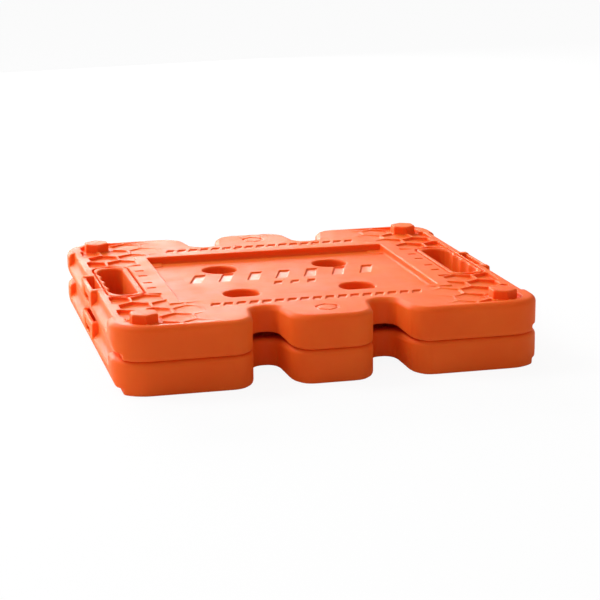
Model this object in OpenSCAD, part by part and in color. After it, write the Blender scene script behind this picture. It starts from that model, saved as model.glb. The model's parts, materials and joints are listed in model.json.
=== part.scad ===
// Pair of stackable base plates for wheels and jacks on snow, sand and mud.
// Both plates come from one mould: a ribbed slab with grip lobes, four stake holes,
// a sunk jack seat, two carry handles, a honeycomb tread and four hexagonal locating pegs.
// Origin: centre of the lower plate's footprint, on the ground. +X runs from handle to
// handle, +Y from one lobed edge to the other, +Z is up. All sizes are in millimetres.

/* [Plate] */
// Length from end wall to end wall
plate_l = 332; // [328:1:336]
// Width over the lobes
plate_w = 315; // [312:1:320]
// Thickness of one plate, which is also the stacking pitch
plate_t = 26.3; // [25:0.1:30]
// Radius of the four outer corners
corner_r = 27; // [20:1:30]
// Depth of the set-back in the upper part of the end wall, beside the grip tab
end_setback = 5; // [3:0.5:6]

/* [Lobes] */
// How deep each notch cuts into the front and back edges
notch_depth = 41; // [36:1:45]
// Half distance between the bottoms of the two notches on one edge
notch_x = 46.5; // [44:0.5:50]
// Flat width at the bottom of a notch
notch_flat = 19; // [17:1:23]
// How far each flank leans over the notch depth
flank_lean = 6.7; // [5:0.1:9]
// Radius of the outward curves of the lobes
lobe_r = 19; // [14:1:20]
// Radius of the inward curves at the bottom of a notch
notch_r = 10; // [6:1:10]

/* [Jack seat] */
// Length of the sunk seat
seat_l = 207; // [200:1:208]
// Width of the sunk seat
seat_w = 163; // [158:1:166]
// Depth of the sunk seat
seat_depth = 6.2; // [4:0.1:7]
// Spacing of the stake holes along the plate
hole_dx = 95.5; // [92:0.5:98]
// Spacing of the stake holes across the plate
hole_dy = 89.6; // [86:0.2:92]
// Diameter of a stake hole
hole_d = 28.8; // [24:0.2:30]

/* [Honeycomb] */
// Half distance between the pegs along the plate, eleven half cells
peg_x = 140; // [138:0.5:141]
// Rows of cells from the middle of the plate to the pegs
peg_row = 6; // [6]
// Width of the ribs between the tread cells
tread_rib = 2.4; // [2:0.1:4]
// Depth of the tread at the rim, from where it ramps up to nothing
tread_depth = 3.2; // [2:0.1:4]
// Circumradius of a locating peg
peg_r = 11.3; // [9:0.1:11.5]
// How far a peg stands above the plate
peg_h = 5.4; // [4:0.1:6]

/* [Carry handles] */
// Length of the hand opening
hand_l = 97; // [92:1:100]
// Width of the hand opening
hand_w = 19; // [17:0.5:20]
// Distance from the middle of the plate to the middle of the hand opening
hand_x = 140; // [139.5:0.5:140]
// Number of finger scallops on the outer edge of the opening
scallops = 4; // [3:1:5]
// Length of the lashing pocket in the grip
lash_l = 46; // [40:1:48]
// Depth of the lashing pocket
lash_depth = 15; // [10:1:16]

/* [Underside] */
// Height by which the skirt is raised along the end walls
skirt_lift = 4.8; // [3:0.1:6]
// Height by which the skirt is raised at the notches
arch_lift = 7.2; // [5:0.1:9]
// Width of the ribs between the underside cells
core_rib = 4; // [3:0.5:6]
// Thickness of the skin above the underside cells
skin = 5; // [4:0.5:6]

/* [Hidden] */
orange = [1, 0.42, 0.2];
arc_steps = 10;                           // steps in each rounded corner of an outline
eps = 0.5;                                // overrun of a cutting tool past a surface
half_l = plate_l / 2;
half_w = plate_w / 2;
cell_w = peg_x / 5.5;                     // honeycomb pitch, flat to flat
cell_r = cell_w / sqrt(3);                // circumradius of a lattice cell
row_h = cell_r * 1.5;                     // distance between honeycomb rows
peg_y = peg_row * row_h;
moat_r = cell_r + 1;                      // circumradius of the wider cell that a peg stands in
seat_z = plate_t - seat_depth;
rim_x = half_l - 10.4;                    // inner edge of the end rims
rim_y = half_w - 7.5;                     // inner edge of the lobed rims
tread_in = 92;                            // where the tread ramp reaches the surface
tread_y = seat_w / 2 + 7;                 // the tread lies outside this, across the plate
tread_x = seat_l / 2 + 10;                // beside the seat it lies outside this, along the plate
tread_end = hand_l / 2 + 3;               // and it stops this far from the handle's middle
setback_z = plate_t - 8;                  // the set-back ends at this height
flare_z = plate_t - 12.3;                 // the wall is full again below this height
block_y = 118;                            // the set-back runs from the tab out to here
tab_out = 0.4;                            // the grip's tab stands this far past the end wall
tab_half = 30;                            // half length of the tab
tab_low = 13;                             // height of the tab's lower end
lip_drop = 1;                             // the tab's outer lip is this much lower than the plate
window_half = 14;                         // half length of the window in the tab
window_frame = 0.8;                       // depth of the shallow frame round the window
wall_mid = 11.3;                          // the end wall leans in below this height
wall_lean = 2.3;                          // how far it leans in
skirt_w = 7;                              // width of the raised skirt
arch_half = 23;                           // half width of the arch at a notch
arch_in = 30;                             // how far the arch reaches in behind the notch
arch_end = half_w - 4;                    // the arch is back on the ground here
lash_w = 6.5;                             // width of the lashing pocket
lash_wall = 3.1;                          // thickness of the tab outside the pocket
hand_r = 8.2;                             // radius of the hand opening's corners
collar_r = 9;                             // radius of its collar's corners
collar_gap = 1.8;                         // width of the groove round the hand opening's collar
collar_in = 4;                            // width of the collar on the inner side
collar_out = 4.3;                         // width of the collar on the grip side
mark_depth = 1.2;                         // depth of the moulded grip marks

// ---- outline helpers ----

function unit(v) = v / norm(v);
function corner_arc(a, b, c) =
    let (
        p = [b[0], b[1]],
        u = unit([a[0], a[1]] - p),
        v = unit([c[0], c[1]] - p),
        half = acos(u * v) / 2,
        centre = p + unit(u + v) * b[2] / sin(half),
        start = p + u * b[2] / tan(half) - centre,
        turn = (u[0] * v[1] - u[1] * v[0] > 0 ? -1 : 1) * (180 - 2 * half)
    )
    [
        for (i = [0 : arc_steps])
            let (t = turn * i / arc_steps)
            centre + [start[0] * cos(t) - start[1] * sin(t), start[0] * sin(t) + start[1] * cos(t)]
    ];
function rounded(pts) =
    let (n = len(pts))
    [for (i = [0 : n - 1]) each corner_arc(pts[(i + n - 1) % n], pts[i], pts[(i + 1) % n])];
function backwards(pts) = [for (i = [len(pts) - 1 : -1 : 0]) pts[i]];
function flip_x(pts) = [for (p = backwards(pts)) [-p[0], p[1], p[2]]];
function flip_y(pts) = [for (p = backwards(pts)) [p[0], -p[1], p[2]]];
function all_round(quarter) =
    let (top = concat(quarter, flip_x(quarter)))
    concat(top, flip_y(top));

// One quarter of the plate's outline, from the corner to the middle lobe, as [x, y, radius].
flat_out = notch_x + notch_flat / 2;
flat_in = notch_x - notch_flat / 2;
plate_quarter = [
    [half_l, half_w, corner_r],
    [flat_out + flank_lean, half_w, lobe_r],
    [flat_out, half_w - notch_depth, notch_r],
    [flat_in, half_w - notch_depth, notch_r],
    [flat_in - flank_lean, half_w, lobe_r]
];

// ---- honeycomb lattice ----

// Centres of the lattice cells. Every second row is shifted by half a cell.
function lattice() = [
    for (row = [-peg_row - 1 : peg_row + 1], col = [-6 : 6])
        [(col + (row % 2 == 0 ? 0.5 : 0)) * cell_w, row * row_h]
];

// Cells that the underside keeps open: clear of the walls, notches, holes and handles.
function core_open(c) =
    let (x = abs(c[0]), y = abs(c[1]))
    x < half_l - 20
    && y < half_w - 20
    && !(abs(x - notch_x) < 34 && y > half_w - notch_depth - 24)
    && norm([x, y] - [hole_dx, hole_dy] / 2) > (hole_d / 2 + cell_r + 1)
    && !(x > hand_x - 28 && y < hand_l / 2 + 16);

module mirror_xy() {
    for (mx = [0, 1], my = [0, 1])
        mirror([mx, 0, 0])
            mirror([0, my, 0])
                children();
}

module hex_prism(r, h) {
    rotate([0, 0, 30])
        cylinder(r = r, h = h, $fn = 6);
}

// A slot with round ends along Y, as a solid standing on z = 0.
module long_slot(w, l, r, h) {
    for (sx = [-1, 1], sy = [-1, 1])
        translate([sx * (w / 2 - r), sy * (l / 2 - r), 0])
            cylinder(r = r, h = h, $fn = 48);
    translate([-w / 2, r - l / 2, 0])
        cube([w, l - 2 * r, h]);
    if (w > 2 * r)
        translate([r - w / 2, -l / 2, 0])
            cube([w - 2 * r, l, h]);
}

// ---- features of the plate ----

module slab() {
    linear_extrude(height = plate_t)
        polygon(rounded(all_round(plate_quarter)));
}

// The upper part of the end wall steps back between the grip tab and the corner blocks.
module wall_setback() {
    flare = (setback_z - flare_z) / end_setback;
    rotate([90, 0, 0])
        linear_extrude(height = 2 * block_y, center = true)
            polygon([
                [half_l - end_setback, plate_t + eps],
                [half_l - end_setback, setback_z],
                [half_l + eps, flare_z - eps * flare],
                [half_l + eps, plate_t + eps]
            ]);
}

// Block at the middle of the end wall that carries the lashing pocket.
module grip_tab() {
    root = half_l - end_setback - 6;
    translate([root, -tab_half, tab_low])
        cube([half_l + tab_out - root, 2 * tab_half, plate_t - tab_low]);
}

module peg() {
    translate([peg_x, peg_y, plate_t - tread_depth])
        hex_prism(peg_r, tread_depth + peg_h);
}

module seat_recess() {
    translate([-seat_l / 2, -seat_w / 2, seat_z])
        cube([seat_l, seat_w, seat_depth + eps]);
}

module stake_hole() {
    translate([hole_dx / 2, hole_dy / 2, -eps])
        cylinder(d = hole_d, h = plate_t + 2 * eps, $fn = 96);
}

// The wedge of space between the plate's top and the ramped floor of the tread.
module tread_ramp() {
    intersection() {
        rotate([90, 0, 0])
            linear_extrude(height = 2 * half_w, center = true)
                polygon([
                    [tread_in, plate_t],
                    [rim_x, plate_t - tread_depth],
                    [rim_x, plate_t + eps],
                    [tread_in, plate_t + eps]
                ]);
        union() {
            translate([tread_in, tread_y, 0])
                cube([rim_x - tread_in, rim_y - tread_y, plate_t + eps]);
            translate([tread_x, tread_end, 0])
                cube([rim_x - tread_x, tread_y + eps - tread_end, plate_t + eps]);
        }
    }
}

// Honeycomb tread in one corner. The cells end at a curve that follows the plate's corner.
module tread_corner() {
    curb_r = corner_r - 7;
    intersection() {
        tread_ramp();
        union() {
            for (c = lattice())
                if (c[0] > tread_in - cell_w && c[0] < rim_x && c[1] > hand_l / 2 - cell_w)
                    translate([c[0], c[1], 0])
                        hex_prism(cell_r - tread_rib / sqrt(3), plate_t + eps);
            translate([peg_x, peg_y, 0])
                hex_prism(moat_r, plate_t + eps);
        }
        union() {
            cube([rim_x - curb_r, rim_y, plate_t + eps]);
            cube([rim_x, rim_y - curb_r, plate_t + eps]);
            translate([rim_x - curb_r, rim_y - curb_r, 0])
                cylinder(r = curb_r, h = plate_t + eps, $fn = 64);
        }
    }
}

module hand_opening() {
    translate([hand_x, 0, -eps])
        long_slot(hand_w, hand_l, hand_r, plate_t + 2 * eps);
    end_margin = 6.5;                       // the scallops stay clear of the round ends
    pitch = (hand_l - 2 * end_margin) / scallops;
    bite_r = 22;
    bite_depth = 3;
    for (i = [0 : scallops - 1])
        translate([hand_x, (i - (scallops - 1) / 2) * pitch, -eps])
            intersection() {
                translate([hand_w / 2 + bite_depth - bite_r, 0, 0])
                    cylinder(r = bite_r, h = plate_t + 2 * eps, $fn = 96);
                translate([0, -pitch / 2, 0])
                    cube([hand_w, pitch, plate_t + 2 * eps]);
            }
}

// Narrow groove that sets a collar off round the hand opening.
module collar_groove() {
    groove_depth = 3.5;
    w = hand_w + collar_in + collar_out;
    l = hand_l + 2 * collar_out;
    translate([hand_x + (collar_out - collar_in) / 2, 0, plate_t - groove_depth])
        difference() {
            long_slot(w + 2 * collar_gap, l + 2 * collar_gap, collar_r + collar_gap, groove_depth + eps);
            translate([0, 0, -eps])
                long_slot(w, l, collar_r, groove_depth + 3 * eps);
        }
}

// Pocket behind the tab, with a lower lip outside it and a window through the tab's face.
module lash_pocket() {
    face = half_l + tab_out;
    floor_z = plate_t - lash_depth;
    window_h = 5;
    frame_h = 10;
    translate([face - lash_wall - lash_w, -lash_l / 2, floor_z])
        cube([lash_w, lash_l, lash_depth + eps]);
    translate([face - lash_wall - eps, -lash_l / 2, plate_t - lip_drop])
        cube([lash_wall + 2 * eps, lash_l, lip_drop + eps]);
    translate([face - lash_wall - eps, -window_half, floor_z])
        cube([lash_wall + 2 * eps, 2 * window_half, window_h]);
    translate([face - window_frame, -window_half - window_frame, floor_z - eps])
        cube([window_frame + eps, 2 * (window_half + window_frame), frame_h]);
}

// The end wall leans in towards the bottom and its skirt is raised off the ground.
module end_undercut() {
    rotate([90, 0, 0])
        linear_extrude(height = plate_w + 2 * eps, center = true)
            polygon([
                [half_l + 0.2, wall_mid],
                [half_l - wall_lean, skirt_lift],
                [half_l - skirt_w, skirt_lift],
                [half_l - skirt_w, -eps],
                [half_l + tab_out + eps, -eps],
                [half_l + tab_out + eps, wall_mid]
            ]);
}

// The skirt arches over the ground at a notch and slopes back down under the lobes.
module notch_undercut() {
    base_y = half_w - notch_depth;
    translate([notch_x, 0, 0])
        rotate([90, 0, 90])
            linear_extrude(height = 2 * arch_half, center = true)
                polygon([
                    [base_y - arch_in, -eps],
                    [base_y - arch_in, arch_lift],
                    [base_y + 2, arch_lift],
                    [arch_end, 0],
                    [arch_end, -eps]
                ]);
}

// Underside cells, deep under the rims and shallower under the sunk seat.
module core_cells() {
    under_seat = [seat_l / 2 + cell_r, seat_w / 2 + cell_r];
    for (c = lattice())
        if (core_open(c)) {
            sunk = abs(c[0]) < under_seat[0] && abs(c[1]) < under_seat[1];
            translate([c[0], c[1], -eps])
                hex_prism(
                    cell_r - core_rib / sqrt(3),
                    eps + (sunk ? seat_z : plate_t - tread_depth) - skin
                );
        }
}

// Plain moulded marks: slanted bars in the seat and on the rims, dashes beside the handles and
// a hexagonal ring on each middle lobe.
module slant_bar(x, y, w, l) {
    translate([x, y, 0])
        linear_extrude(height = mark_depth + eps)
            polygon([
                [-w / 2 - l / 6, -l / 2],
                [w / 2 - l / 6, -l / 2],
                [w / 2 + l / 6, l / 2],
                [l / 6 - w / 2, l / 2]
            ]);
}

module seat_marks() {
    row_y = 15;                             // half distance between the two rows of bars
    translate([0, 0, seat_z - mark_depth]) {
        long_pitch = 24;
        for (i = [-3 : 3])
            slant_bar(i * long_pitch, row_y, 9, 28);
        short_pitch = 14;
        for (i = [-1 : 1])
            slant_bar(3 + i * short_pitch, -row_y, 6, 11);
    }
}

module rim_marks() {
    bar_pitch = 10;
    bar_y = seat_w / 2 + 20;
    dash = [7, 3];
    dash_x = 118;                           // the dashes lie between the seat and the handles
    ring_r = 9;
    ring_w = 1.15;                          // half width of the ring's line
    ring_y = 132;                           // the rings lie on the middle lobes
    translate([0, 0, plate_t - mark_depth]) {
        for (side = [-1, 1], i = [-8 : 8])
            slant_bar(i * bar_pitch, side * bar_y, 6.5, 10);
        for (x = [-dash_x, dash_x], y = [-32, -13, 13, 32])
            translate([x - dash[0] / 2, y - dash[1] / 2, 0])
                cube([dash[0], dash[1], mark_depth + eps]);
        for (side = [-1, 1])
            translate([0, side * ring_y, 0])
                difference() {
                    hex_prism(ring_r + ring_w, mark_depth + eps);
                    translate([0, 0, -eps])
                        hex_prism(ring_r - ring_w, mark_depth + 3 * eps);
                }
    }
}

// ---- one plate, standing on z = 0 ----

module base_plate() {
    difference() {
        union() {
            difference() {
                slab();
                wall_setback();
                mirror([1, 0, 0])
                    wall_setback();
            }
            for (mx = [0, 1])
                mirror([mx, 0, 0])
                    grip_tab();
        }
        mirror_xy() {
            tread_corner();
            stake_hole();
            notch_undercut();
        }
        core_cells();
        for (mx = [0, 1])
            mirror([mx, 0, 0]) {
                hand_opening();
                collar_groove();
                lash_pocket();
                end_undercut();
            }
        seat_recess();
        seat_marks();
        rim_marks();
    }
    mirror_xy()
        peg();
}

module lower_plate() {
    color(orange)
        base_plate();
}

module upper_plate() {
    color(orange)
        translate([0, 0, plate_t])
            base_plate();
}

lower_plate();
upper_plate();
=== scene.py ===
"""The looks of the stacked traction and jack base plates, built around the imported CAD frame.

Both plates are one moulding, so its surface is made once, as the zero level of a distance field
in the plate's own frame (millimetres, standing on z = 0), and is then set in place for each CAD
node. The field gives every edge of the moulding its own radius.
"""
import itertools
import json
import math

import bpy
import numpy as np
from mathutils import Matrix, Vector


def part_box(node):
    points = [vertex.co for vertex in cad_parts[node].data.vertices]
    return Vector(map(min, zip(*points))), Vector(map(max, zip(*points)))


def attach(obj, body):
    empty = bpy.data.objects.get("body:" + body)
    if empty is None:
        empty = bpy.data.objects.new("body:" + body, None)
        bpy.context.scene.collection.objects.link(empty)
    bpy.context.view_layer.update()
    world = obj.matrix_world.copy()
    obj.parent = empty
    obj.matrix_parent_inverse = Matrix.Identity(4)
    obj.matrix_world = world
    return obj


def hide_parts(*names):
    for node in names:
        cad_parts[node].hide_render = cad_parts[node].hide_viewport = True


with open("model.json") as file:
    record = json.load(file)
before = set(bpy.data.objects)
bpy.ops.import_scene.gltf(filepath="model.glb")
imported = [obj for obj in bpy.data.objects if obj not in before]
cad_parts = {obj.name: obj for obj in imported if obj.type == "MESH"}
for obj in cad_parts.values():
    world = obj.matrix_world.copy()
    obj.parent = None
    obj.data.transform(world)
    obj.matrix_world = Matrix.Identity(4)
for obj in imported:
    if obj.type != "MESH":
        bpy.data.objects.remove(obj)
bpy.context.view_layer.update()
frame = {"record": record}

MM = 0.001
MOUNTS = {m["name"]: m for m in frame["record"]["mounts"]}
LOW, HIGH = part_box("lower_plate")
PITCH = (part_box("upper_plate")[0].z - LOW.z) / MM      # stacking pitch, one plate's thickness

# ---- driving sizes of the moulding, in millimetres, the same as the CAD's ----

TOP = PITCH
PEG_H = (HIGH.z - LOW.z) / MM - TOP
TAB_X = HIGH.x / MM                                    # outer face of the grip's tab
HALF_W = HIGH.y / MM
TAB_OUT = 0.4
HALF_L = TAB_X - TAB_OUT                               # end wall at the corners
SETBACK = 5                                            # of the upper end wall, beside the tab
SETBACK_Z, FLARE_Z = TOP - 8, TOP - 12.3
BLOCK_Y = 118                                          # corner blocks start here
TAB_HALF, TAB_LOW, LIP_DROP = 30, 13, 1
WINDOW_HALF, WINDOW_H = 14, 5                          # window through the tab's face
FRAME_RIM, FRAME_H, FRAME_DEPTH = 1, 10, 0.8           # shallow frame round the window
CORNER_R = 27
NOTCH_DEPTH = 41
NOTCH_X = 46.5
NOTCH_FLAT = 19
FLANK_LEAN = 6.7
LOBE_R = 19
NOTCH_R = 10
SEAT = (103.5, 81.5)                                   # half size of the sunk seat
SEAT_Z = MOUNTS["jack_seat"]["pos_m"][2] / MM - PITCH
HOLES = MOUNTS["stake_holes"]["dims"]
HOLE_AT = (HOLES["spacing_x_mm"] / 2, HOLES["spacing_y_mm"] / 2)
HOLE_R = HOLES["hole_r_mm"]
PEG_X = 140
CELL_W = PEG_X / 5.5                                   # honeycomb pitch, flat to flat
CELL_R = CELL_W / math.sqrt(3)
ROW_H = CELL_R * 1.5
PEG_ROW = 6
PEG_Y = PEG_ROW * ROW_H
PEG_R, MOAT_R = 11.3, CELL_R + 1
TREAD_RIB = 2.4
TREAD_DEPTH = 3.2
TREAD_IN = 92                                          # the tread's ramp surfaces here
RIM_X = HALF_L - 10.4
RIM_Y = HALF_W - 7.5
HAND_X, HAND_W, HAND_L, HAND_R = 140, 19, 97, 8.2
COLLAR_IN, COLLAR_OUT, COLLAR_GAP, COLLAR_DEEP = 4, 4.3, 1.8, 3.5
COLLAR_R = 9
SCALLOPS, BITE_R, BITE_DEPTH, BITE_MARGIN = 4, 22, 3, 6.5
LASH_L, LASH_DEPTH, LASH_W, LASH_WALL = 46, 15, 6.5, 3.1
SKIRT_LIFT, SKIRT_W = 4.8, 7
ARCH_LIFT, ARCH_HALF, ARCH_IN, ARCH_END = 7.2, 23, 30, HALF_W - 4
WALL_MID, WALL_LEAN = 11.3, 2.3
CORE_RIB, SKIN = 4, 5
MARK_DEPTH = 1.2
SEAT_ROW_Y = 15                                        # half distance between the seat's two rows
LONG_PITCH, SHORT_PITCH = 24, 14                       # of the bars in those rows
RIM_BAR_Y, RIM_PITCH = SEAT[1] + 20, 10
DASH_X, DASH_YS, DASH = 118, (13, 32), (7, 3)
RING_Y, RING_R, RING_W = 132, 9, 2.0

# ---- sizes that only the looks have, in millimetres ----

TOP_EDGE_R = 4.6                                       # round of the slab's upper edge
BOTTOM_EDGE_R = 1.6
HOLE_EDGE_R = 1.6
HAND_EDGE_R = 1.8
SEAT_FILLET_R = 2.0
PAD, PAD_R, PAD_H = (12, 14), 6, 0.8                   # low pads in the seat's corners
STEP = 0.8                      # spacing of the field's samples
GRID_MARGIN = 2.37                                     # steps outside the plate, off its flat faces
FACE_BUDGET = 190_000                                  # triangles in one plate
CLOSED = 4                                             # field of a honeycomb cell that stays shut

# ---- colours, linear ----

ORANGE = (0.95, 0.121, 0.0095, 1)
LIGHT_ORANGE = (0.98, 0.142, 0.0135, 1)
FLOW_ORANGE = (0.88, 0.096, 0.006, 1)                  # faint streaks where the melt flowed
# painted shade: a deeper, redder orange laid into creases and hollows
PAINTED_CREASE_SHADE_ORANGE = (0.97, 0.088, 0.004, 1)
# part wear, part painted highlight: a paler orange laid on sharp outer edges
WORN_AND_HIGHLIT_ORANGE = (1.0, 0.30, 0.11, 1)
MARK_ORANGE = (1.0, 0.24, 0.08, 1)


# ---- distance fields ----

def meet(a, b, r):
    """Where both solids are, with their shared edge rounded to radius r."""
    return np.minimum(np.maximum(a, b), -r) + np.hypot(np.maximum(a + r, 0), np.maximum(b + r, 0))


def join(a, b, r):
    """Both solids together, with a fillet of radius r between them."""
    return -meet(-a, -b, r)


def cut(solid, tool, r):
    return meet(solid, -tool, r)


def rectangle(x, y, half_x, half_y, r=0.0):
    """A rectangle about the origin, with corners of radius r."""
    qx, qy = np.abs(x) - half_x + r, np.abs(y) - half_y + r
    return np.hypot(np.maximum(qx, 0), np.maximum(qy, 0)) + np.minimum(np.maximum(qx, qy), 0) - r


def hexagon(x, y, circumradius):
    """A hexagon with its points towards +Y and -Y."""
    x, y = np.abs(x), np.abs(y)
    return np.maximum(x, x / 2 + y * math.sqrt(3) / 2) - circumradius * math.sqrt(3) / 2


def slant(x, y, width, length):
    """A slanted bar, the plain mark that the moulding carries."""
    return np.maximum(np.abs(x - y / 3) - width / 2, np.abs(y) - length / 2)


def corner_arc(before, corner, after, steps=14):
    """Points of the arc that rounds corner = (x, y, radius) between its neighbours."""
    p = np.array(corner[:2], float)
    u, v = np.array(before[:2], float) - p, np.array(after[:2], float) - p
    u, v = u / np.linalg.norm(u), v / np.linalg.norm(v)
    half = math.acos(u @ v) / 2
    centre = p + (u + v) / np.linalg.norm(u + v) * corner[2] / math.sin(half)
    start = p + u * corner[2] / math.tan(half) - centre
    turn = math.copysign(math.pi - 2 * half, -(u[0] * v[1] - u[1] * v[0]))
    t = np.linspace(0, turn, steps + 1)[:, None]
    side = np.array([-start[1], start[0]])
    return centre + start * np.cos(t) + side * np.sin(t)


def plate_outline():
    """The plate's outline as a closed ring of points, from one quarter and its mirror images."""
    out, into = NOTCH_X + NOTCH_FLAT / 2, NOTCH_X - NOTCH_FLAT / 2
    quarter = [
        (HALF_L, HALF_W, CORNER_R),
        (out + FLANK_LEAN, HALF_W, LOBE_R),
        (out, HALF_W - NOTCH_DEPTH, NOTCH_R),
        (into, HALF_W - NOTCH_DEPTH, NOTCH_R),
        (into - FLANK_LEAN, HALF_W, LOBE_R),
    ]
    half = quarter + [(-x, y, r) for x, y, r in reversed(quarter)]
    ring = half + [(x, -y, r) for x, y, r in reversed(half)]
    n = len(ring)
    return np.vstack([corner_arc(ring[i - 1], ring[i], ring[(i + 1) % n]) for i in range(n)])


def ring_field(x, y, ring):
    """Signed distance from a closed ring of points, negative inside."""
    nearest = np.full(x.shape, 1e9)
    inside = np.zeros(x.shape, bool)
    for a, b in zip(ring, np.roll(ring, -1, axis=0)):
        e = b - a
        px, py = x - a[0], y - a[1]
        t = np.clip((px * e[0] + py * e[1]) / (e @ e), 0, 1)
        nearest = np.minimum(nearest, (px - t * e[0]) ** 2 + (py - t * e[1]) ** 2)
        if e[1] != 0:
            spans = (py >= 0) != (y - b[1] >= 0)
            inside ^= spans & ((px * e[1] - py * e[0]) * np.sign(e[1]) < 0)
    return np.where(inside, -1, 1) * np.sqrt(nearest)


def lattice_cell(x, y):
    """Centre of the honeycomb cell that each point lies in. Every second row is shifted by half."""
    best = None
    for row in (np.floor(y / ROW_H), np.floor(y / ROW_H) + 1):
        shift = np.where(row % 2 == 0, 0.5, 0.0)
        cx = (np.round(x / CELL_W - shift) + shift) * CELL_W
        cy = row * ROW_H
        d = (x - cx) ** 2 + (y - cy) ** 2
        best = (cx, cy, d) if best is None else tuple(
            np.where(d < best[2], new, old) for new, old in zip((cx, cy, d), best))
    return best[:2]


def core_open(cx, cy):
    """True for the cells that the underside keeps open, clear of walls, notches, holes and handles."""
    cx, cy = np.abs(cx), np.abs(cy)
    notch = (np.abs(cx - NOTCH_X) < 34) & (cy > HALF_W - NOTCH_DEPTH - 24)
    hole = np.hypot(cx - HOLE_AT[0], cy - HOLE_AT[1]) <= HOLE_R + CELL_R + 1
    hand = (cx > HAND_X - 28) & (cy < HAND_L / 2 + 16)
    return (cx < HALF_L - 20) & (cy < HALF_W - 20) & ~notch & ~hole & ~hand


# ---- features of the moulding, as fields: ax and ay are the distances from the middle planes ----

def wall_setback(ax, ay, z):
    """Space beside the tab, where the upper end wall steps back as far as the corner blocks."""
    slope = (SETBACK_Z - FLARE_Z) / SETBACK
    flare = (SETBACK_Z - z - (ax - HALF_L + SETBACK) * slope) / math.hypot(1, slope)
    back = meet(HALF_L - SETBACK - ax, flare, 1.5)
    return meet(back, ay - BLOCK_Y, 0.8)


def wall_lean(ax, z):
    """Inner side of the plane along which the end wall leans in below its middle."""
    fall = WALL_MID - SKIRT_LIFT
    return ((ax - HALF_L) * fall - (z - WALL_MID) * WALL_LEAN) / math.hypot(WALL_LEAN, fall)


def grip_tab(ax, ay, z):
    tab = meet(meet(ax - TAB_X, ay - TAB_HALF, 1.0), z - TOP, 2.0)
    root = HALF_L - SETBACK - 6
    return np.maximum(meet(tab, TAB_LOW - z, 0.8), root - ax)


def raised_skirt(ax, z):
    return meet(z - SKIRT_LIFT, HALF_L - SKIRT_W - ax, 1.0)


def notch_arch(ax, ay, z):
    """Space under a notch, highest behind it and back on the ground under the lobes."""
    base_y = HALF_W - NOTCH_DEPTH
    fall = ARCH_LIFT / (ARCH_END - base_y - 2)
    slope = (z - (ARCH_END - ay) * fall) / math.hypot(1, fall)
    arch = meet(meet(z - ARCH_LIFT, slope, 6.0), base_y - ARCH_IN - ay, 1.0)
    return meet(arch, np.abs(ax - NOTCH_X) - ARCH_HALF, 1.0)


def core_cells(x, y, z, cx, cy):
    """The underside's cells, deep under the rims and shallower under the sunk seat."""
    cell = hexagon(x - cx, y - cy, CELL_R - CORE_RIB / math.sqrt(3))
    cell = np.where(core_open(cx, cy), cell, CLOSED)
    sunk = (np.abs(cx) < SEAT[0] + CELL_R) & (np.abs(cy) < SEAT[1] + CELL_R)
    ceiling = np.where(sunk, SEAT_Z, TOP - TREAD_DEPTH) - SKIN
    return meet(cell, z - ceiling, 1.5)


def tread_cells(x, y, z, cx, cy):
    """The tread's cells, with a floor that ramps up towards the seat, and a moat at each peg."""
    ax, ay = np.abs(x), np.abs(y)
    cell = hexagon(x - cx, y - cy, CELL_R - TREAD_RIB / math.sqrt(3))
    cell = np.where(np.abs(cx) < RIM_X, cell, CLOSED)
    cell = np.minimum(cell, hexagon(ax - PEG_X, ay - PEG_Y, MOAT_R))
    fall = TREAD_DEPTH / (RIM_X - TREAD_IN)
    ramp = (TOP - z - (ax - TREAD_IN) * fall) / math.hypot(1, fall)
    wide = meet(SEAT[1] + 7 - ay, TREAD_IN - 6 - ax, 0.5)
    beside = meet(HAND_L / 2 + 3 - ay, SEAT[0] + 10 - ax, 0.5)
    area = np.maximum(np.minimum(wide, beside), rectangle(x, y, RIM_X, RIM_Y, CORNER_R - 7))
    return meet(meet(cell, area, 0.5), ramp, 0.7)


def locating_peg(ax, ay, z):
    peg = meet(hexagon(ax - PEG_X, ay - PEG_Y, PEG_R), z - TOP - PEG_H, 0.8)
    return np.maximum(peg, TOP - TREAD_DEPTH - 1 - z)


def jack_seat(x, y, z):
    """The sunk seat, with a low pad in each of its corners."""
    seat = meet(rectangle(x, y, *SEAT, 1.0), SEAT_Z - z, SEAT_FILLET_R)
    pad = rectangle(np.abs(x) - SEAT[0], np.abs(y) - SEAT[1], *PAD, PAD_R)
    return cut(seat, np.maximum(pad, z - SEAT_Z - PAD_H), 0.4)


def hand_opening(ax, y):
    """A slot with finger scallops on its outer side, clear of the slot's round ends."""
    hand = rectangle(ax - HAND_X, y, HAND_W / 2, HAND_L / 2, HAND_R)
    pitch = (HAND_L - 2 * BITE_MARGIN) / SCALLOPS
    reach = HAND_X + HAND_W / 2 + BITE_DEPTH - BITE_R
    for i in range(SCALLOPS):
        bite = np.hypot(ax - reach, y - (i - (SCALLOPS - 1) / 2) * pitch) - BITE_R
        outer = np.maximum(HAND_X - ax, np.abs(y) - HAND_L / 2 + BITE_MARGIN)
        hand = join(hand, np.maximum(bite, outer), 1.5)
    return hand


def collar_groove(ax, y, z):
    mid = HAND_X + (COLLAR_OUT - COLLAR_IN) / 2
    half_w, half_l = (HAND_W + COLLAR_IN + COLLAR_OUT) / 2, HAND_L / 2 + COLLAR_OUT
    inner = rectangle(ax - mid, y, half_w, half_l, COLLAR_R)
    return np.maximum(np.maximum(inner - COLLAR_GAP, -inner), TOP - COLLAR_DEEP - z)


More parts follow.
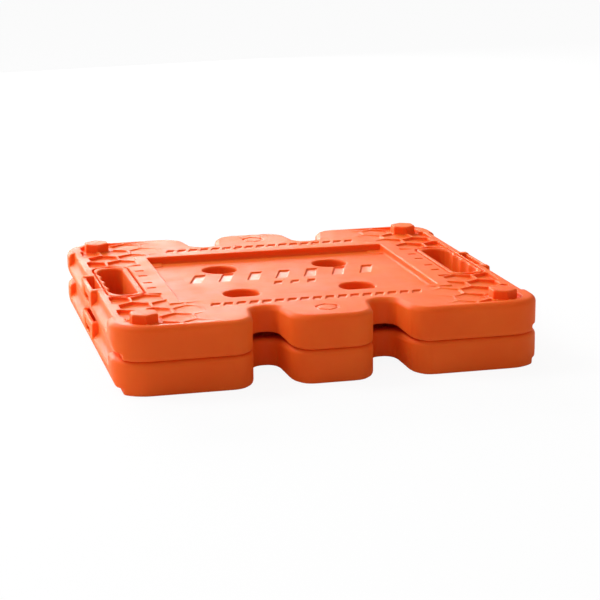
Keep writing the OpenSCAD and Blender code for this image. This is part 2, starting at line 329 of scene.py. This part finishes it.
def lash_pocket(ax, y, z):
    """Pocket in the tab, with a lower lip outside it and a framed window through its face."""
    ay = np.abs(y)
    mid_x = TAB_X - LASH_WALL - LASH_W / 2
    floor_z = TOP - LASH_DEPTH
    pocket = np.maximum(rectangle(ax - mid_x, y, LASH_W / 2, LASH_L / 2, 0.8), floor_z - z)
    lip = np.maximum(np.maximum(mid_x - ax, ay - LASH_L / 2), TOP - LIP_DROP - z)
    high = np.abs(z - floor_z - WINDOW_H / 2) - WINDOW_H / 2
    window = np.maximum(np.maximum(mid_x - ax, ay - WINDOW_HALF), high)
    high = np.abs(z - floor_z - (FRAME_H - 1) / 2) - FRAME_H / 2
    rim = np.maximum(ay - WINDOW_HALF - FRAME_RIM, high)
    rim = np.maximum(TAB_X - FRAME_DEPTH - ax, rim)
    return np.minimum(np.minimum(pocket, lip), np.minimum(window, rim))


def marks_field(x, y, z):
    """Slanted bars in the seat and on the rims, dashes beside the handles and rings on the lobes."""
    ax, ay = np.abs(x), np.abs(y)
    long = [slant(x - LONG_PITCH * i, y - SEAT_ROW_Y, 9, 28) for i in range(-3, 4)]
    short = [slant(x - 3 - SHORT_PITCH * i, y + SEAT_ROW_Y, 6, 11) for i in range(-1, 2)]
    seat = np.minimum.reduce(long + short)
    rim = np.minimum.reduce([slant(x - RIM_PITCH * i, y - side * RIM_BAR_Y, 6.5, 10)
                             for side in (-1, 1) for i in range(-8, 9)])
    beside = np.minimum.reduce(
        [rectangle(ax - DASH_X, ay - at, DASH[0] / 2, DASH[1] / 2, 0.4) for at in DASH_YS])
    ring = np.abs(hexagon(x, ay - RING_Y, RING_R)) - RING_W / 2
    upper = np.minimum(np.minimum(rim, beside), ring)
    return np.minimum(
        np.maximum(seat, SEAT_Z - MARK_DEPTH - z), np.maximum(upper, TOP - MARK_DEPTH - z))


def moulding_field(x, y, z):
    """The plate as a distance field. x, y and z are arrays that broadcast to the sample grid."""
    ax, ay = np.abs(x), np.abs(y)
    solid = meet(ring_field(x + 0 * y, y + 0 * x, plate_outline()), z - TOP, TOP_EDGE_R)
    solid = cut(solid, wall_setback(ax, ay, z), 1.5)
    solid = meet(solid, wall_lean(ax, z), 1.2)
    solid = join(solid, grip_tab(ax, ay, z), 0.8)
    solid = meet(solid, -z, BOTTOM_EDGE_R)
    solid = cut(solid, raised_skirt(ax, z), 0.8)
    solid = cut(solid, notch_arch(ax, ay, z), 1.0)
    cx, cy = lattice_cell(x + 0 * y, y + 0 * x)
    solid = cut(solid, core_cells(x, y, z, cx, cy), 0.6)
    solid = cut(solid, tread_cells(x, y, z, cx, cy), 0.5)
    solid = join(solid, locating_peg(ax, ay, z), 0.5)
    solid = cut(solid, jack_seat(x, y, z), 1.0)
    hole = np.hypot(ax - HOLE_AT[0], ay - HOLE_AT[1]) - HOLE_R
    solid = cut(solid, hole, HOLE_EDGE_R)
    solid = cut(solid, hand_opening(ax, y), HAND_EDGE_R)
    solid = cut(solid, collar_groove(ax, y, z), 0.5)
    solid = cut(solid, lash_pocket(ax, y, z), 0.5)
    return cut(solid, marks_field(x, y, z), 0.3)


# ---- from field to mesh ----

def sample(field, points):
    """Value and gradient of a sampled field at points given in grid steps."""
    base = np.clip(np.floor(points).astype(int), 0, np.array(field.shape) - 2)
    f = points - base
    value = np.zeros(len(points))
    slope = np.zeros((len(points), 3))
    for corner in itertools.product((0, 1), repeat=3):
        v = field[base[:, 0] + corner[0], base[:, 1] + corner[1], base[:, 2] + corner[2]]
        w = [f[:, k] if corner[k] else 1 - f[:, k] for k in range(3)]
        value += v * w[0] * w[1] * w[2]
        for k in range(3):
            others = [w[m] for m in range(3) if m != k]
            slope[:, k] += (1 if corner[k] else -1) * v * others[0] * others[1]
    return value, slope


def surface_net(field):
    """The zero level of a sampled field as points, in grid steps, and outward-facing quads."""
    inside = field < 0
    nx, ny, nz = field.shape
    count = sum(
        inside[i:nx - 1 + i, j:ny - 1 + j, k:nz - 1 + k].astype(np.int8)
        for i, j, k in itertools.product((0, 1), repeat=3))
    active = (count > 0) & (count < 8)
    cells = np.argwhere(active)
    index = np.full(active.shape, -1, np.int64)
    index[active] = np.arange(len(cells))
    total, hits = np.zeros((len(cells), 3)), np.zeros(len(cells))
    quads = []
    for axis in range(3):
        along = np.eye(3, dtype=int)[axis]
        u, v = np.eye(3, dtype=int)[(axis + 1) % 3], np.eye(3, dtype=int)[(axis + 2) % 3]
        for i, j in itertools.product((0, 1), repeat=2):
            a = cells + i * u + j * v
            b = a + along
            fa, fb = field[tuple(a.T)], field[tuple(b.T)]
            crossed = (fa < 0) != (fb < 0)
            t = (fa / np.where(fa == fb, 1, fa - fb))[:, None]
            total[crossed] += (a + t * along)[crossed]
            hits[crossed] += 1
        near = [slice(1, n - 1) for n in field.shape]
        far = list(near)
        near[axis], far[axis] = slice(0, -1), slice(1, None)
        a, b = inside[tuple(near)], inside[tuple(far)]
        for leaving in (True, False):
            edges = np.argwhere(a & ~b if leaving else b & ~a) + 1 - along
            ring = [index[tuple((edges + d).T)] for d in (-u - v, -v, 0 * u, -u)]
            quads.append(np.stack(ring if leaving else ring[::-1], axis=1))
    points = total / hits[:, None]
    for _ in range(3):
        value, slope = sample(field, points)
        points = points - np.clip(
            (value / np.maximum((slope ** 2).sum(1), 0.25))[:, None] * slope, -0.4, 0.4)
    return points, np.vstack(quads)


def mesh_from(points, faces, name):
    mesh = bpy.data.meshes.new(name)
    mesh.vertices.add(len(points))
    mesh.vertices.foreach_set("co", points.astype(np.float32).ravel())
    mesh.loops.add(faces.size)
    mesh.loops.foreach_set("vertex_index", faces.astype(np.int32).ravel())
    mesh.polygons.add(len(faces))
    mesh.polygons.foreach_set("loop_start", np.arange(0, faces.size, faces.shape[1], dtype=np.int32))
    mesh.update(calc_edges=True)
    mesh.validate()
    return mesh


def moulding_mesh():
    """The plate's mesh, in metres, thinned where it is flat and shaded by the field's gradient."""
    reach = np.array([TAB_X, HALF_W, TOP + PEG_H])
    low = -np.array([reach[0], reach[1], 0]) - GRID_MARGIN * STEP
    sizes = np.ceil((np.array([2 * reach[0], 2 * reach[1], reach[2]]) + 5 * STEP) / STEP).astype(int)
    x, y, z = (low[k] + STEP * np.arange(sizes[k]) for k in range(3))
    field = moulding_field(x[:, None, None], y[None, :, None], z[None, None, :])
    points, quads = surface_net(field)
    points = np.clip(low + points * STEP, -np.array([reach[0], reach[1], 0]), reach)
    dense = mesh_from(points * MM, quads, "moulding_dense")
    holder = bpy.data.objects.new("moulding_dense", dense)
    bpy.context.scene.collection.objects.link(holder)
    thin = holder.modifiers.new("thin", "DECIMATE")
    thin.ratio = min(1.0, FACE_BUDGET / (2 * len(quads)))
    graph = bpy.context.evaluated_depsgraph_get()
    mesh = bpy.data.meshes.new_from_object(holder.evaluated_get(graph))
    bpy.data.objects.remove(holder)
    bpy.data.meshes.remove(dense)
    co = np.zeros(len(mesh.vertices) * 3, np.float32)
    mesh.vertices.foreach_get("co", co)
    co = co.reshape(-1, 3) / MM
    marked = (marks_field(*co.T) < 0.25) & (
        co[:, 2] < np.where(np.abs(co[:, 1]) < SEAT[1], SEAT_Z, TOP) - 0.3)
    mesh.attributes.new("mark", "FLOAT", "POINT").data.foreach_set("value", marked.astype(np.float32))
    _, slope = sample(field, (co - low) / STEP)
    mesh.polygons.foreach_set("use_smooth", np.ones(len(mesh.polygons), bool))
    normals = slope / np.maximum(np.linalg.norm(slope, axis=1), 1e-9)[:, None]
    mesh.normals_split_custom_set_from_vertices(normals.astype(np.float32))
    mesh.name = "moulding"
    return mesh


# ---- material ----

def moulded_plastic(name, seed):
    """Pigmented orange nylon: fine spark-eroded grain, faint flow marks, paler edges that are part
    rubbed wear and part painted highlight, and painted shade in the creases.
    """
    material = bpy.data.materials.new(name)
    material.use_nodes = True
    nodes, links = material.node_tree.nodes, material.node_tree.links
    shader = nodes["Principled BSDF"]
    place = nodes.new("ShaderNodeTexCoord")
    offset = nodes.new("ShaderNodeMapping")
    offset.inputs["Location"].default_value = (seed, 2.3 * seed, 5.1 * seed)
    links.new(place.outputs["Object"], offset.inputs["Vector"])

    def noise(scale, detail, rough, stretch=None):
        n = nodes.new("ShaderNodeTexNoise")
        n.inputs["Scale"].default_value = scale
        n.inputs["Detail"].default_value = detail
        n.inputs["Roughness"].default_value = rough
        source = offset.outputs["Vector"]
        if stretch:
            s = nodes.new("ShaderNodeMapping")
            s.inputs["Scale"].default_value = stretch
            links.new(source, s.inputs["Vector"])
            source = s.outputs["Vector"]
        links.new(source, n.inputs["Vector"])
        return n.outputs["Fac"]

    def ramp(source, low, high, to_low=0.0, to_high=1.0):
        r = nodes.new("ShaderNodeMapRange")
        r.interpolation_type = "SMOOTHSTEP"
        for key, value in zip(("From Min", "From Max", "To Min", "To Max"),
                              (low, high, to_low, to_high)):
            r.inputs[key].default_value = value
        links.new(source, r.inputs["Value"])
        return r.outputs["Result"]

    def mix(factor, a, b):
        m = nodes.new("ShaderNodeMix")
        m.data_type = "RGBA"
        for key, value in (("Factor", factor), ("A", a), ("B", b)):
            socket = next(s for s in m.inputs if s.name == key and s.type != "VECTOR"
                          and (s.type == "RGBA") == (key != "Factor"))
            if isinstance(value, bpy.types.NodeSocket):
                links.new(value, socket)
            else:
                socket.default_value = value
        return next(s for s in m.outputs if s.type == "RGBA")

    def times(a, b):
        m = nodes.new("ShaderNodeMath")
        m.operation = "MULTIPLY"
        for socket, value in zip(m.inputs, (a, b)):
            if isinstance(value, bpy.types.NodeSocket):
                links.new(value, socket)
            else:
                socket.default_value = value
        return m.outputs[0]

    def bump(height, strength, distance):
        b = nodes.new("ShaderNodeBump")
        b.inputs["Strength"].default_value = strength
        b.inputs["Distance"].default_value = distance
        links.new(height, b.inputs["Height"])
        return b

    body = mix(ramp(noise(14, 4, 0.55), 0.35, 0.7), ORANGE, LIGHT_ORANGE)
    flow = ramp(noise(9, 5, 0.6, (1.0, 4.0, 1.0)), 0.45, 0.75)
    body = mix(times(flow, 0.25), body, FLOW_ORANGE)
    geometry = nodes.new("ShaderNodeNewGeometry")
    # paler orange on sharp outer edges, part rubbed wear and part painted highlight
    edge = ramp(geometry.outputs["Pointiness"], 0.515, 0.56)
    worn_and_highlit = times(edge, ramp(noise(60, 6, 0.65), 0.4, 0.65))
    body = mix(times(worn_and_highlit, 0.35), body, WORN_AND_HIGHLIT_ORANGE)
    # painted shade: concave creases get a deeper, redder orange
    crease_shade = ramp(geometry.outputs["Pointiness"], 0.49, 0.44)
    body = mix(times(crease_shade, 0.5), body, PAINTED_CREASE_SHADE_ORANGE)
    mark = nodes.new("ShaderNodeAttribute")
    mark.attribute_name = "mark"
    body = mix(times(mark.outputs["Fac"], 0.3), body, MARK_ORANGE)
    links.new(body, shader.inputs["Base Color"])
    dull = ramp(noise(35, 5, 0.6), 0.3, 0.75, 0.52, 0.66)
    gloss = ramp(mark.outputs["Fac"], 0.0, 1.0, 1.0, 0.72)
    links.new(times(dull, gloss), shader.inputs["Roughness"])
    shader.inputs["IOR"].default_value = 1.5
    shader.inputs["Specular IOR Level"].default_value = 0.14
    shader.inputs["Subsurface Weight"].default_value = 0.45
    shader.inputs["Subsurface Radius"].default_value = (1.0, 0.2, 0.05)
    shader.inputs["Subsurface Scale"].default_value = 0.007

    grain = bump(noise(1400, 3, 0.55), 0.35, 0.00012)
    sink = bump(noise(22, 2, 0.4), 0.25, 0.0012)
    links.new(sink.outputs["Normal"], grain.inputs["Normal"])
    links.new(grain.outputs["Normal"], shader.inputs["Normal"])
    return material


# ---- pieces ----

def place_plates():
    mesh = moulding_mesh()
    for i, (node, body) in enumerate((("lower_plate", "lower"), ("upper_plate", "upper"))):
        own = mesh.copy()
        own.transform(Matrix.Translation((0, 0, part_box(node)[0].z)))
        own.materials.append(moulded_plastic(f"moulded_nylon_{body}", 0.37 * i))
        piece = bpy.data.objects.new(f"{node}_moulding", own)
        bpy.context.scene.collection.objects.link(piece)
        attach(piece, body)
        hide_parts(node)


# ---- stage ----

def floor():
    """A wide pale floor that the camera sees nearly white, with a faint shadow under the plates."""
    mesh = bpy.data.meshes.new("floor")
    half = 30.0
    corners = [(-half, -half, 0), (half, -half, 0), (half, half, 0), (-half, half, 0)]
    mesh.from_pydata(corners, [], [(0, 1, 2, 3)])
    plane = bpy.data.objects.new("floor", mesh)
    material = bpy.data.materials.new("floor")
    material.use_nodes = True
    nodes, links = material.node_tree.nodes, material.node_tree.links
    shader = nodes["Principled BSDF"]
    shader.inputs["Base Color"].default_value = (0.9, 0.9, 0.9, 1)
    shader.inputs["Roughness"].default_value = 0.8
    glow = nodes.new("ShaderNodeEmission")
    glow.inputs["Strength"].default_value = 1.0
    path = nodes.new("ShaderNodeLightPath")
    share = nodes.new("ShaderNodeMath")
    share.operation = "MULTIPLY"
    share.inputs[1].default_value = 0.92
    links.new(path.outputs["Is Camera Ray"], share.inputs[0])
    blend = nodes.new("ShaderNodeMixShader")
    links.new(share.outputs[0], blend.inputs[0])
    links.new(shader.outputs[0], blend.inputs[1])
    links.new(glow.outputs[0], blend.inputs[2])
    links.new(blend.outputs[0], nodes["Material Output"].inputs["Surface"])
    mesh.materials.append(material)
    bpy.context.scene.collection.objects.link(plane)


def softbox(name, at, width, height, power, aim=(0, 0, 0.03)):
    lamp = bpy.data.lights.new(name, "AREA")
    lamp.shape = "RECTANGLE"
    lamp.size, lamp.size_y = width, height
    lamp.energy = power
    holder = bpy.data.objects.new(name, lamp)
    holder.location = at
    holder.rotation_euler = (Vector(aim) - Vector(at)).to_track_quat("-Z", "Y").to_euler()
    holder.visible_camera = False
    bpy.context.scene.collection.objects.link(holder)


def lights():
    """A white room for the camera that lights the plates mostly from low behind and from the left."""
    world = bpy.data.worlds.new("studio")
    world.use_nodes = True
    nodes, links = world.node_tree.nodes, world.node_tree.links
    seen = nodes["Background"]
    seen.inputs["Color"].default_value = (1, 1, 1, 1)
    seen.inputs["Strength"].default_value = 1.0
    room = nodes.new("ShaderNodeBackground")
    place = nodes.new("ShaderNodeTexCoord")
    toward = nodes.new("ShaderNodeVectorMath")
    toward.operation = "DOT_PRODUCT"
    toward.inputs[1].default_value = Vector((-0.6, 0.7, 0.4)).normalized()
    links.new(place.outputs["Generated"], toward.inputs[0])
    level = nodes.new("ShaderNodeMapRange")
    level.interpolation_type = "SMOOTHSTEP"
    for key, value in zip(("From Min", "From Max", "To Min", "To Max"), (-0.5, 0.9, 0.41, 0.86)):
        level.inputs[key].default_value = value
    links.new(toward.outputs["Value"], level.inputs["Value"])
    links.new(level.outputs["Result"], room.inputs["Strength"])
    path = nodes.new("ShaderNodeLightPath")
    choose = nodes.new("ShaderNodeMixShader")
    links.new(path.outputs["Is Camera Ray"], choose.inputs[0])
    links.new(room.outputs[0], choose.inputs[1])
    links.new(seen.outputs[0], choose.inputs[2])
    links.new(choose.outputs[0], nodes["World Output"].inputs["Surface"])
    bpy.context.scene.world = world
    softbox("window", (-0.35, 1.9, 0.5), 1.7, 1.0, 56)
    softbox("key", (-1.5, 0.9, 1.9), 1.0, 1.0, 34)


def camera():
    """The camera turns by yaw to the right of +Y, looks down by pitch and leans by roll."""
    eye = (-0.3329, -1.4112, 0.3748)
    yaw, pitch, roll = 0.2389, 0.2353, -0.0107
    forward = np.array([math.sin(yaw) * math.cos(pitch), math.cos(yaw) * math.cos(pitch),
                        -math.sin(pitch)])
    level = np.array([math.cos(yaw), -math.sin(yaw), 0])
    above = np.cross(level, forward)
    right = level * math.cos(roll) + above * math.sin(roll)
    up = above * math.cos(roll) - level * math.sin(roll)
    lens = bpy.data.cameras.new("camera")
    lens.lens = 108.0
    lens.sensor_width = 36.0
    holder = bpy.data.objects.new("camera", lens)
    turn = Matrix([[right[k], up[k], -forward[k]] for k in range(3)]).to_4x4()
    holder.matrix_world = Matrix.Translation(eye) @ turn
    bpy.context.scene.collection.objects.link(holder)
    bpy.context.scene.camera = holder


place_plates()
floor()
lights()
camera()
bpy.context.scene.view_settings.view_transform = "Standard"
